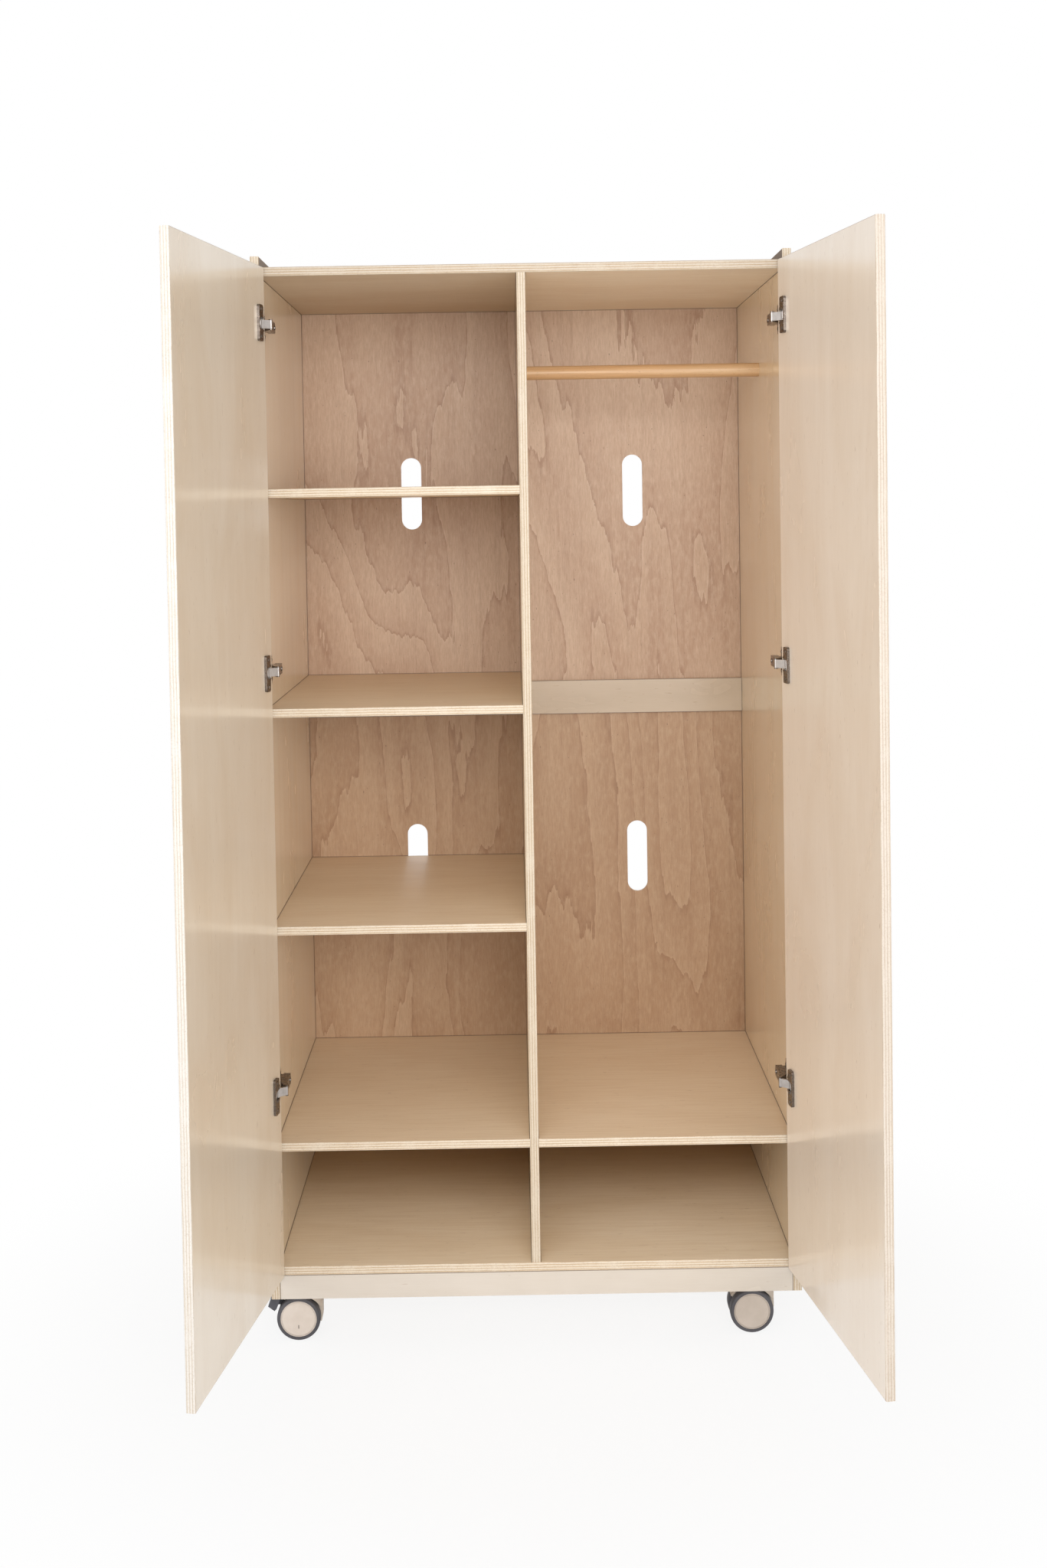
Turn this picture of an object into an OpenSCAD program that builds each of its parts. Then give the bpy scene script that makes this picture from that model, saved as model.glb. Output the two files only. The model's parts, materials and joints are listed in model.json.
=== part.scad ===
// Mobile double-door wardrobe in faced plywood, millimetres.
// Origin on the floor, centred in width and in the depth taken with the doors open.
// +X to the right, +Y towards the back, +Z up. The doors are drawn open.

/* [Carcass] */
// Width over the two side panels
carcass_w = 900; // [760:5:1080]
// Depth from the front edges to the back faces
carcass_d = 586; // [480:1:680]
// Height of the side panels
side_h = 1760; // [1500:5:2112]
// Plywood thickness
ply_t = 15; // [13:0.5:18]
// Back panel thickness
back_t = 6; // [4:0.5:9]
// Rise of the side panels above the top panel
upstand = 18; // [6:1:30]
// Height of the plinth rails under the bottom panel
plinth_h = 41; // [36:1:60]
// Radius of the eased plywood edges
ease_r = 1.5; // [0.5:0.1:2.5]

/* [Shelves and rails] */
// Clear height of the two low compartments
low_clear_h = 197; // [150:1:260]
// Height of the rail across the back
back_rail_h = 67; // [40:1:90]
// Drop of the back rail below the middle shelf
back_rail_drop = 3; // [0:0.5:12]
// Lap of the back panels in their rebates
rebate_lap = 8; // [5:0.5:8]
// Side clearance of the back panels in their rebates
rebate_gap = 0.3; // [0.1:0.1:1]
// Diameter of the hanging rail
hang_rail_d = 25; // [20:1:32]
// Drop of the hanging rail below the top panel
hang_rail_drop = 146; // [80:1:220]
// Depth of the hanging rail's blind sockets
hang_socket = 6; // [4:0.5:7]

/* [Panel dowels] */
// Diameter of the dowels in the panel joints
dowel_d = 8; // [6:0.5:9]
// Length of the dowels
dowel_l = 30; // [24:1:40]
// Depth of a dowel in the face of a panel
dowel_in = 10; // [7:0.5:11]
// Inset of the outer dowels from the front and the back
dowel_inset = 70; // [50:1:120]

/* [Back slots] */
// Width of each slot
slot_w = 40; // [24:1:60]
// Height of each slot over its round ends
slot_h = 143; // [80:1:180]

/* [Doors] */
// Angle of the doors when fully open
open_angle = 99; // [92:0.5:105]
// Gap between a shut door and the front edges
door_gap = 3; // [3:0.1:4]
// Cover of a shut door over the side panel's front edge
overlay = 14; // [13.5:0.1:14.5]
// Half of the gap between the two shut doors
centre_gap = 1.5; // [1:0.1:3]
// Inward shift of an open door's inner hinge corner past the side panel
open_x = 8.7; // [8:0.1:9]
// Forward shift of an open door's inner hinge corner
open_y = 5; // [4.8:0.1:5.5]

/* [Concealed hinges] */
// Diameter of the hinge cup
cup_d = 35; // [35:35]
// Depth of the cup below the flange
cup_deep = 11.5; // [10.5:0.1:12]
// Distance of the cup bore from the door's hinge edge
cup_edge = 5; // [4.5:0.1:6]
// Length of the cup flange
flange_l = 60; // [56:1:66]
// Width of the flange bar
flange_w = 21; // [20:0.5:22]
// Offset of the flange bar and its screws beyond the cup's centre
flange_off = 9.5; // [9:0.5:10]
// Thickness of the ring around the cup
flange_t = 1; // [0.8:0.1:1.5]
// Thickness of the flange bar
bar_t = 4.4; // [3:0.1:4.5]
// Spacing of the two cup screws
cup_screw_pitch = 45; // [42:0.5:48]
// Distance of the cup pin from the hinge edge
pivot_s = 13; // [12.5:0.1:13.5]
// Depth of the cup pin below the door's inner face
pivot_w = 3.8; // [3.4:0.1:4.2]
// Distance of the arm pin from the swing centre
arm_reach = 24; // [23:0.1:24]
// Diameter of the hinge pins
pin_d = 3; // [2.5:0.1:3.2]
// Radial running clearance on the hinge pins
pin_gap = 0.05; // [0.02:0.01:0.1]
// Height of the link plate
link_h = 14; // [10:0.5:14]
// Inner width of the hinge arm channel
arm_inner = 14.6; // [14.6:0.1:15.2]
// Sheet thickness of the hinge arm
arm_t = 1.5; // [1.2:0.1:1.6]
// Rise of the arm's web above the side panel
arm_rise = 16; // [15:0.1:16.5]
// Length of the hinge arm behind the front edges
arm_back = 58; // [50:1:70]
// Set-back of the mounting plate screws from the front edge
plate_setback = 37; // [37:37]
// Spacing of the mounting plate screws
plate_screw_pitch = 32; // [32:32]
// Distance of the top hinge below the door's top edge
top_hinge_drop = 95; // [70:1:140]
// Height of the middle hinge above the middle shelf
mid_hinge_rise = 63; // [50:1:180]
// Height of the low hinge above the low shelf
low_hinge_rise = 92; // [50:1:180]

/* [Casters] */
// Wheel diameter
wheel_d = 75; // [63:1:90]
// Width of one wheel of the pair
wheel_w = 18; // [15:0.5:22]
// Distance between the two wheels of a caster
wheel_split = 18; // [17:0.5:22]
// Thickness of the tyre outside its hub
tyre_t = 6.2; // [5:0.1:9]
// Radius of the tyre's shoulders
shoulder_r = 4; // [2:0.5:5]
// Trail of the axle behind the swivel
trail = 20; // [18:0.5:24]
// Rise of the caster plate above the wheel tops
caster_rise = 30; // [28:1:36]
// Recess of the caster plate above the plinth's lower edge
caster_recess = 11; // [6:1:14]
// Inset of the swivel from the side panel
caster_inset_x = 44; // [44:1:70]
// Inset of the swivel from the front and the back
caster_inset_y = 72; // [60:1:100]
// Diameter of the axle
axle_d = 8; // [6:0.5:10]
// Radial running clearance of axle, swivel and pedal
run_gap = 0.06; // [0.03:0.01:0.1]
// Radius of the swivel neck
neck_r = 20; // [18:0.5:24]
// Projection of the fender beyond the wheels
fender_lip = 2; // [1:0.1:3]
// Width of the brake pedal's tread
tread_w = 40; // [30:1:52]

/* [Hidden] */
$fn = 48;

// Plan turn of a vector about +Z
function turn(a, v) = [v[0] * cos(a) - v[1] * sin(a), v[0] * sin(a) + v[1] * cos(a)];

// Carcass heights above the plinth's lower edge
inner_w = carcass_w - 2 * ply_t;
inner_d = carcass_d - back_t;
bottom_z = plinth_h + ply_t;
top_z = side_h - upstand;
low_shelf_z = bottom_z + low_clear_h + ply_t;
bay_clear_h = (top_z - ply_t - low_shelf_z - 3 * ply_t) / 4;
lower_shelf_z = low_shelf_z + bay_clear_h + ply_t;
middle_shelf_z = lower_shelf_z + bay_clear_h + ply_t;
upper_shelf_z = middle_shelf_z + bay_clear_h + ply_t;
bay_w = (inner_w - ply_t) / 2;
bay_x = (ply_t + bay_w) / 2;
back_rail_top = middle_shelf_z - ply_t - back_rail_drop;
back_rail_low = back_rail_top - back_rail_h;
hang_z = top_z - ply_t - hang_rail_drop;
hang_y = inner_d / 2;
hang_gap = 0.1;

// Rows of dowels along x: the face that they enter, the way the board lies, their height and their shift
dowel_gap = 0.05;
dowel_end = 0.5;
dowel_stagger = 30;
dowel_ys = [dowel_inset, inner_d / 2, inner_d - dowel_inset];
dowel_rows = [
    for (z = [bottom_z, low_shelf_z, lower_shelf_z, middle_shelf_z, upper_shelf_z, top_z])
        [-inner_w / 2, 1, z - ply_t / 2, 0],
    for (z = [bottom_z, low_shelf_z, top_z]) [inner_w / 2, -1, z - ply_t / 2, 0],
    for (z = [low_shelf_z, lower_shelf_z, middle_shelf_z, upper_shelf_z]) [-ply_t / 2, -1, z - ply_t / 2, 0],
    [ply_t / 2, 1, low_shelf_z - ply_t / 2, dowel_stagger]
];

// Door sizes and its two end positions, from the side panel's inner front corner
door_w = carcass_w / 2 - ply_t + overlay - centre_gap;
door_h = top_z - plinth_h - 1;
shut_at = [-overlay, -door_gap];
open_at = [open_x, -open_y];
swing_step = open_at - shut_at;
swing_half = [-swing_step[1], swing_step[0]] / (2 * tan(open_angle / 2));
swing_centre = (shut_at + open_at) / 2 - swing_half;
cup_pin_shut = shut_at + [pivot_s, -pivot_w];
cup_pin_open = open_at + turn(-open_angle, [pivot_s, -pivot_w]);
swing_mid = (cup_pin_shut + cup_pin_open) / 2 - swing_centre;
arm_pin = swing_centre + swing_mid / norm(swing_mid) * arm_reach;
link_run = cup_pin_open - arm_pin;
link_l = norm(link_run);
link_a = atan2(link_run[1], link_run[0]);

// Frame of the whole object
door_tip = turn(-open_angle, [door_w - ease_r, -ease_r]);
front_y = -(door_tip[1] - open_y - ease_r + carcass_d) / 2;

// Hinge sizes
pin_r = pin_d / 2;
eye_r = pin_r + 1;
cup_r = cup_d / 2 - 0.1;
cup_s = cup_edge + cup_d / 2;
bar_s = cup_s + flange_off;
pocket_r = cup_r - 1.1;
pocket_h = arm_inner + 2 * arm_t + 1.6;
notch_deep = 3.5;
arm_half = arm_inner / 2 + arm_t;
spine_half = arm_inner / 2 - 0.8;
plate_t = 2;
hinge_zs = [low_shelf_z + low_hinge_rise, middle_shelf_z + mid_hinge_rise,
    plinth_h + door_h - top_hinge_drop];
plate_edge = 8;
spine_front = 20;
spine_back = arm_back + 2;
arm_front = 14;
cheek_low = 6;
link_t = 3.2;
bar_r = 4;
press_gap = 0.02;
screw_r = 1.75;
screw_gap = 0.05;
head_r = 3.6;
head_top_r = 2.8;
head_h = 1.6;
cup_head_h = 1;
cup_screw_l = 10;
plate_screw_l = 11;
arm_screw_l = 7;
arm_screw_y = arm_back - 9;

// Caster sizes
caster_h = wheel_d + caster_rise;
floor_clear = caster_h - caster_recess;
swivel_x = inner_w / 2 - caster_inset_x;
swivel_front = caster_inset_y;
swivel_rear = carcass_d - caster_inset_y;
wheel_r = wheel_d / 2;
wheel_gap = 1.8;
hub_r = wheel_r - tyre_t;
hub_gap = 0.05;
hub_set = 0.4;
hub_w = wheel_w - 2;
cover_in = 1.5;
cover_h = 1.2;
axle_r = axle_d / 2;
boss_r = axle_r + 7;
wheel_in = wheel_split / 2;
wheel_out = wheel_in + wheel_w;
plate_l = 76;
caster_plate_w = 64;
caster_plate_t = 3;
race_r = 23;
race_h = 6;
race_gap = 0.4;
plate_r = 6;
crown_r = 26;
crown_h = 9;
neck_low = wheel_r + 16;
neck_top = caster_h - caster_plate_t - race_h - race_gap;
king_r = 5;
king_low = wheel_r + 34;
fender_r = wheel_r + fender_lip;
fender_gap = 0.7;
fender_half = wheel_in - fender_gap;
fender_ends = [-18, 150];
batten_w = 2 * caster_inset_x;
batten_h = plinth_h - caster_recess;
bolt_r = 2.5;
bolt_x = 29;
bolt_y = 23;
bolt_l = 22;
bolt_head_r = 4.4;
bolt_head_h = 2.4;
pedal_pin_r = 2.5;
pedal_boss_r = 5.5;
pedal_lug_r = 6.5;
pedal_half = fender_half - 2.3;
pedal_room_gap = 0.3;
pedal_in = 6.3;
pedal_angle = 130;
pedal_at = (wheel_r - pedal_in) * [cos(pedal_angle), sin(pedal_angle)];

// Rectangle with four rounded corners
module eased(w, h, r) {
    translate([r, 0]) square([w - 2 * r, h]);
    translate([0, r]) square([w, h - 2 * r]);
    for (x = [r, w - r]) {
        for (y = [r, h - r]) {
            translate([x, y]) circle(r);
        }
    }
}

// Rectangle with its two corners at low x rounded
module nosed(w, h, r) {
    eased(w, h, r);
    translate([w / 2, 0]) square([w / 2, h]);
}

// Places carcass pieces in the object's frame
module in_frame() {
    translate([0, front_y, floor_clear]) children();
}

// Board lying flat between two x positions with an eased front edge
module flat_board(x0, x1, z_top, depth) {
    translate([x0, 0, z_top - ply_t])
    rotate([90, 0, 90])
    linear_extrude(x1 - x0) nosed(depth, ply_t, ease_r);
}

// Bore along +X starting at a point
module bore_x(p, r, l) {
    translate(p) rotate([0, 90, 0]) cylinder(r = r, h = l);
}

// Dowel along +X whose board lies to one side of the face at x, drawn larger for its bore
module dowel_x(x, way, y, z, gap, end) {
    start = way > 0 ? dowel_in : dowel_l - dowel_in;
    bore_x([x - start - end, y, z], dowel_d / 2 + gap, dowel_l + 2 * end);
}

// All dowels of the panel joints, or their bores
module dowel_set(gap, end) {
    for (row = dowel_rows) {
        for (y = dowel_ys) {
            dowel_x(row[0], row[1], y + row[3], row[2], gap, end);
        }
    }
    for (side = [-1, 1]) {
        for (y = [ply_t / 2, carcass_d - ply_t / 2]) {
            dowel_x(side * inner_w / 2, -side, y, plinth_h / 2, gap, end);
        }
    }
    for (y = dowel_ys) {
        translate([0, y, bottom_z - dowel_in - end]) cylinder(r = dowel_d / 2 + gap, h = dowel_l + 2 * end);
        translate([0, y, top_z - ply_t + dowel_in - dowel_l - end])
        cylinder(r = dowel_d / 2 + gap, h = dowel_l + 2 * end);
    }
}

// Carcass panel in the object's frame with its dowel bores
module bored_panel() {
    in_frame()
    difference() {
        children();
        dowel_set(dowel_gap, dowel_end);
    }
}

module panel_dowels() {
    color("tan") in_frame() dowel_set(0, 0);
}

// Left-hand side panel with its rebate and hinge screw holes
module side_blank() {
    x0 = -carcass_w / 2;
    difference() {
        intersection() {
            translate([x0, 0, 0])
            linear_extrude(side_h)
            union() {
                eased(ply_t, carcass_d, ease_r);
                translate([0, carcass_d / 2]) square([ply_t, carcass_d / 2]);
            }
            translate([x0, carcass_d, 0])
            rotate([90, 0, 0])
            linear_extrude(carcass_d)
            union() {
                eased(ply_t, side_h, ease_r);
                square([ply_t, side_h / 2]);
            }
        }
        translate([-inner_w / 2 - rebate_lap, inner_d, plinth_h])
        cube([rebate_lap + 1, back_t + 1, top_z - plinth_h]);
        for (z = hinge_zs) {
            for (s = [-1, 1]) {
                bore_x([-inner_w / 2 - plate_screw_l + 0.5, plate_setback, z + s * plate_screw_pitch / 2],
                    screw_r + screw_gap, plate_screw_l);
            }
        }
    }
}

module left_side_panel() {
    color("burlywood") bored_panel() side_blank();
}

module right_side_panel() {
    color("burlywood")
    bored_panel()
    difference() {
        mirror([1, 0, 0]) side_blank();
        bore_x([inner_w / 2 - 1, hang_y, hang_z], hang_rail_d / 2 + hang_gap, hang_socket + 1);
    }
}

module top_panel() {
    color("burlywood") bored_panel() flat_board(-inner_w / 2, inner_w / 2, top_z, inner_d);
}

module bottom_panel() {
    color("burlywood") bored_panel() flat_board(-inner_w / 2, inner_w / 2, bottom_z, inner_d);
}

module centre_divider() {
    color("burlywood")
    bored_panel()
    difference() {
        translate([-ply_t / 2, 0, bottom_z])
        linear_extrude(top_z - ply_t - bottom_z)
        union() {
            eased(ply_t, inner_d, ease_r);
            translate([0, inner_d / 2]) square([ply_t, inner_d / 2]);
        }
        translate([-ply_t, carcass_d - ply_t, back_rail_low])
        cube([2 * ply_t, ply_t, back_rail_h]);
        bore_x([ply_t / 2 - hang_socket, hang_y, hang_z], hang_rail_d / 2 + hang_gap, hang_socket + 1);
    }
}

module upper_shelf() {
    color("burlywood") bored_panel() flat_board(-inner_w / 2, -ply_t / 2, upper_shelf_z, inner_d);
}

module middle_shelf() {
    color("burlywood") bored_panel() flat_board(-inner_w / 2, -ply_t / 2, middle_shelf_z, inner_d);
}

module lower_shelf() {
    color("burlywood") bored_panel() flat_board(-inner_w / 2, -ply_t / 2, lower_shelf_z, inner_d);
}

module left_base_shelf() {
    color("burlywood") bored_panel() flat_board(-inner_w / 2, -ply_t / 2, low_shelf_z, inner_d);
}

module right_base_shelf() {
    color("burlywood") bored_panel() flat_board(ply_t / 2, inner_w / 2, low_shelf_z, inner_d);
}

module front_plinth_rail() {
    color("wheat") bored_panel() translate([-inner_w / 2, 0, 0]) cube([inner_w, ply_t, plinth_h]);
}

module rear_plinth_rail() {
    color("wheat")
    bored_panel()
    translate([-inner_w / 2, carcass_d - ply_t, 0]) cube([inner_w, ply_t, plinth_h]);
}

// Upright slot with round ends, cut through along Y
module back_slot(x, z) {
    translate([x, carcass_d + 1, z])
    rotate([90, 0, 0])
    linear_extrude(back_t + 2)
    union() {
        square([slot_w, slot_h - slot_w], center = true);
        for (s = [-1, 1]) {
            translate([0, s * (slot_h - slot_w) / 2]) circle(slot_w / 2);
        }
    }
}

// Back panel between two heights with a pair of slots
module back_blank(z0, z1, slot_z) {
    half = inner_w / 2 + rebate_lap - rebate_gap;
    difference() {
        translate([-half, inner_d, z0]) cube([2 * half, back_t, z1 - z0]);
        for (s = [-1, 1]) {
            back_slot(s * bay_x, slot_z);
        }
    }
}

module upper_back_panel() {
    color("rosybrown")
    in_frame()
    back_blank(back_rail_top - rebate_lap + rebate_gap, top_z - rebate_gap, upper_shelf_z - ply_t / 2);
}

module lower_back_panel() {
    color("rosybrown")
    in_frame()
    back_blank(plinth_h, back_rail_low + rebate_lap - rebate_gap, lower_shelf_z - ply_t / 2);
}

// Rail across the back with rebates for both back panels
module back_rail() {
    color("wheat")
    in_frame()
    difference() {
        translate([-inner_w / 2, carcass_d - ply_t, back_rail_low]) cube([inner_w, ply_t, back_rail_h]);
        translate([-inner_w, inner_d, back_rail_top - rebate_lap]) cube([2 * inner_w, ply_t, ply_t]);
        translate([-inner_w, inner_d, back_rail_low + rebate_lap - ply_t]) cube([2 * inner_w, ply_t, ply_t]);
    }
}

module hanging_rail() {
    color("peru")
    in_frame()
    bore_x([ply_t / 2 - hang_socket, hang_y, hang_z], hang_rail_d / 2, bay_w + 2 * hang_socket);
}

// Batten under the bottom panel that takes the caster screws
module batten(side) {
    difference() {
        translate([side * swivel_x - batten_w / 2, ply_t, plinth_h - batten_h])
        cube([batten_w, carcass_d - 2 * ply_t, batten_h]);
        for (y = [swivel_front, swivel_rear]) {
            for (sx = [-1, 1]) {
                for (sy = [-1, 1]) {
                    translate([side * swivel_x + sx * bolt_x, y + sy * bolt_y, plinth_h - batten_h - 1])
                    cylinder(r = bolt_r + screw_gap, h = bolt_l - caster_plate_t + 1.5);
                }
            }
        }
    }
}

module left_caster_batten() {
    color("tan") in_frame() batten(-1);
}

module right_caster_batten() {
    color("tan") in_frame() batten(1);
}

// Repeats a left-hand hinge piece at the three hinge heights
module at_hinges() {
    for (z = hinge_zs) {
        in_frame() translate([-inner_w / 2, 0, z]) children();
    }
}

// Repeats a left-hand hinge piece on both sides
module on_both_sides() {
    at_hinges() children();
    mirror([1, 0, 0]) at_hinges() children();
}

// Winged mounting plate with the spine that carries the arm
module plate_blank() {
    difference() {
        union() {
            translate([0, plate_setback - plate_edge, -plate_screw_pitch / 2 - plate_edge])
            cube([plate_t, 2 * plate_edge, plate_screw_pitch + 2 * plate_edge]);
            translate([0, spine_front, -spine_half])
            cube([arm_rise, spine_back - spine_front, 2 * spine_half]);
        }
        for (s = [-1, 1]) {
            bore_x([-1, plate_setback, s * plate_screw_pitch / 2], screw_r + screw_gap, 5);
        }
        bore_x([arm_rise - arm_screw_l, arm_screw_y, 0], screw_r + screw_gap, arm_screw_l + 1);
    }
}

module hinge_plates() {
    color("silver") on_both_sides() plate_blank();
}

module hinge_plate_screws() {
    color("silver")
    on_both_sides()
    for (s = [-1, 1]) {
        translate([0, plate_setback, s * plate_screw_pitch / 2])
        rotate([0, 90, 0]) {
            translate([0, 0, -plate_screw_l + 1]) cylinder(r = screw_r, h = plate_screw_l + plate_t);
            translate([0, 0, plate_t]) cylinder(r1 = head_r, r2 = head_top_r, h = head_h);
        }
    }
}

// Plan outline of an arm cheek from the channel to the arm pin
module cheek_outline() {
    difference() {
        union() {
            translate(arm_pin) circle(eye_r + 0.1);
            polygon([[arm_pin[0] + eye_r, arm_pin[1]], [arm_rise + arm_t, arm_front],
                [arm_rise + arm_t, arm_back], [cheek_low, arm_back], [cheek_low, arm_front - 2],
                [arm_pin[0] - eye_r, arm_pin[1]]]);
        }
        translate(arm_pin) circle(pin_r + pin_gap);
    }
}

// Hinge arm as a channel whose cheeks carry the arm pin
module arm_blank() {
    difference() {
        union() {
            for (s = [-1, 1]) {
                translate([0, 0, s * (arm_half - arm_t / 2) - arm_t / 2])
                linear_extrude(arm_t) cheek_outline();
            }
            translate([arm_rise, arm_front, -arm_half]) cube([arm_t, arm_back - arm_front, 2 * arm_half]);
        }
        bore_x([arm_rise - 1, arm_screw_y, 0], screw_r + screw_gap, arm_t + 2);
    }
}

module hinge_arms() {
    color("silver") on_both_sides() arm_blank();
}

module hinge_arm_screws() {
    color("silver")
    on_both_sides()
    translate([arm_rise + arm_t, arm_screw_y, 0])
    rotate([0, 90, 0]) {
        translate([0, 0, -arm_screw_l]) cylinder(r = screw_r, h = arm_screw_l + head_h / 2);
        cylinder(r = head_r, h = head_h);
    }
}

module hinge_arm_pins() {
    color("gray")
    on_both_sides()
    translate([arm_pin[0], arm_pin[1], -arm_half]) cylinder(r = pin_r, h = 2 * arm_half);
}

// Link plate between the arm pin and the cup pin
module link_blank() {
    translate([arm_pin[0], arm_pin[1], -link_h / 2])
    rotate([0, 0, link_a])
    linear_extrude(link_h)
    difference() {
        union() {
            circle(eye_r);
            translate([link_l, 0]) circle(eye_r);
            translate([0, -link_t / 2]) square([link_l, link_t]);
            translate([link_t / 2, 0]) square([link_l - link_t, eye_r]);
        }
        circle(pin_r + pin_gap);
        translate([link_l, 0]) circle(pin_r + pin_gap);
    }
}

module left_hinge_links() {
    color("gainsboro") at_hinges() link_blank();
}

module right_hinge_links() {
    color("gainsboro") mirror([1, 0, 0]) at_hinges() link_blank();
}

// Places left door pieces: x runs from the hinge edge, y from the inner face, z from the plinth's lower edge
module on_door() {
    in_frame()
    translate([open_at[0] - inner_w / 2, open_at[1], 0])
    rotate([0, 0, -open_angle]) children();
}

// Door panel with eased edges, cup bores and cup screw holes
module door_blank() {
    difference() {
        intersection() {
            translate([0, -ply_t, plinth_h]) linear_extrude(door_h) eased(door_w, ply_t, ease_r);
            translate([0, -ply_t, plinth_h])
            rotate([90, 0, 90])
            linear_extrude(door_w) eased(ply_t, door_h, ease_r);
        }
        for (z = hinge_zs) {
            translate([cup_s, 1, z]) rotate([90, 0, 0]) cylinder(r = cup_d / 2, h = cup_deep + 1.3);
            for (s = [-1, 1]) {
                translate([bar_s, 1, z + s * cup_screw_pitch / 2])
                rotate([90, 0, 0]) cylinder(r = screw_r + screw_gap, h = cup_screw_l + 1.2);
            }
        }
    }
}

module left_door() {
    color("burlywood") on_door() door_blank();
}

module right_door() {
    color("burlywood") mirror([1, 0, 0]) on_door() door_blank();
}

// Hinge cup with its flange bar, ring, pocket, pin holes and the notch on the hinge side
module cup_blank() {
    difference() {
        union() {
            translate([cup_s, 0, 0]) rotate([90, 0, 0]) cylinder(r = cup_r, h = cup_deep);
            translate([cup_s, flange_t, 0]) rotate([90, 0, 0]) cylinder(r = cup_r + 1.2, h = flange_t);
            translate([bar_s, bar_t, 0])
            rotate([90, 0, 0])
            linear_extrude(bar_t)
            translate([-flange_w / 2, -flange_l / 2]) eased(flange_w, flange_l, bar_r);
        }
        intersection() {
            translate([cup_s, bar_t + 1, 0])
            rotate([90, 0, 0]) cylinder(r = pocket_r, h = cup_deep + bar_t);
            translate([0, -cup_deep + 1, -pocket_h / 2]) cube([cup_s * 2, cup_deep + bar_t, pocket_h]);
        }
        translate([0, -notch_deep, -pocket_h / 2]) cube([cup_s / 2, notch_deep + bar_t + 1, pocket_h]);
        translate([pivot_s, -pivot_w, -pocket_h / 2 - 2]) cylinder(r = pin_r + press_gap, h = pocket_h + 4);
        for (s = [-1, 1]) {
            translate([bar_s, bar_t + 1, s * cup_screw_pitch / 2])
            rotate([90, 0, 0]) cylinder(r = screw_r + screw_gap, h = bar_t + 3);
        }
    }
}

// Repeats a left door piece at the three hinge heights
module at_cups() {
    for (z = hinge_zs) {
        on_door() translate([0, 0, z]) children();
    }
}

module left_hinge_cups() {
    color("silver") at_cups() cup_blank();
}

module right_hinge_cups() {
    color("silver") mirror([1, 0, 0]) at_cups() cup_blank();
}

module cup_pin_blank() {
    translate([pivot_s, -pivot_w, -pocket_h / 2 - 1.9]) cylinder(r = pin_r, h = pocket_h + 3.8);
}

module left_cup_pins() {
    color("gray") at_cups() cup_pin_blank();
}

module right_cup_pins() {
    color("gray") mirror([1, 0, 0]) at_cups() cup_pin_blank();
}

module cup_screw_pair() {
    for (s = [-1, 1]) {
        translate([bar_s, 0, s * cup_screw_pitch / 2])
        rotate([90, 0, 0]) {
            translate([0, 0, -bar_t]) cylinder(r = screw_r, h = cup_screw_l + bar_t);
            translate([0, 0, -bar_t - cup_head_h]) cylinder(r1 = head_top_r, r2 = head_r, h = cup_head_h);
        }
    }
}

module left_cup_screws() {
    color("silver") at_cups() cup_screw_pair();
}

module right_cup_screws() {
    color("silver") mirror([1, 0, 0]) at_cups() cup_screw_pair();
}

// Places a caster piece by its swivel axis on the floor
module at_caster(side, y) {
    translate([side * swivel_x, front_y + y, 0]) children();
}

// Repeats a caster piece under all four corners
module at_casters() {
    for (side = [-1, 1]) {
        for (y = [swivel_front, swivel_rear]) {
            at_caster(side, y) children();
        }
    }
}

// Caster plate with its bearing race and king pin
module caster_plates() {
    color("silver")
    at_casters()
    difference() {
        union() {
            translate([-plate_l / 2, -caster_plate_w / 2, caster_h - caster_plate_t])
            linear_extrude(caster_plate_t) eased(plate_l, caster_plate_w, plate_r);
            translate([0, 0, caster_h - caster_plate_t - race_h]) cylinder(r = race_r, h = race_h + 1);
            translate([0, 0, king_low]) cylinder(r = king_r, h = caster_h - king_low - 1);
        }
        for (sx = [-1, 1]) {
            for (sy = [-1, 1]) {
                translate([sx * bolt_x, sy * bolt_y, caster_h - caster_plate_t - 1])
                cylinder(r = bolt_r + screw_gap, h = caster_plate_t + 2);
            }
        }
    }
}

module caster_screws() {
    color("silver")
    at_casters()
    for (sx = [-1, 1]) {
        for (sy = [-1, 1]) {
            translate([sx * bolt_x, sy * bolt_y, caster_h - caster_plate_t]) {
                cylinder(r = bolt_r, h = bolt_l);
                translate([0, 0, -bolt_head_h])
                cylinder(r1 = bolt_head_r - 1, r2 = bolt_head_r, h = bolt_head_h);
            }
        }
    }
}

// Extrudes a side outline in x and z to a half width about y = 0, measured from the axle
module upright(half) {
    translate([-trail, half, wheel_r]) rotate([90, 0, 0]) linear_extrude(2 * half) children();
}

// Side outline of the fender between the wheels: a disc squared off below the neck, cut to its two end angles
module fender_outline() {
    step = (fender_ends[1] - fender_ends[0]) / 6;
    fan = [for (a = [fender_ends[0] : step : fender_ends[1] + step / 2]) 2 * fender_r * [cos(a), sin(a)]];
    circle(boss_r);
    intersection() {
        union() {
            circle(fender_r);
            square([trail + neck_r, neck_low + crown_h - wheel_r]);
        }
        polygon(concat([[0, 0]], fan));
    }
}

// Side outline of the part of the fender that makes way for the pedal
module pedal_gap_outline() {
    translate([pedal_at[0] - pedal_lug_r - fender_r, -fender_r]) square([fender_r, 3 * fender_r]);
}

// Side outline of the slot between the pedal's lugs
module pedal_slot_outline() {
    translate(pedal_at) circle(pedal_boss_r + pedal_room_gap);
    translate(pedal_at - [fender_r, pedal_boss_r + fender_r / 2]) square([fender_r, 2 * fender_r]);
}

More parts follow.
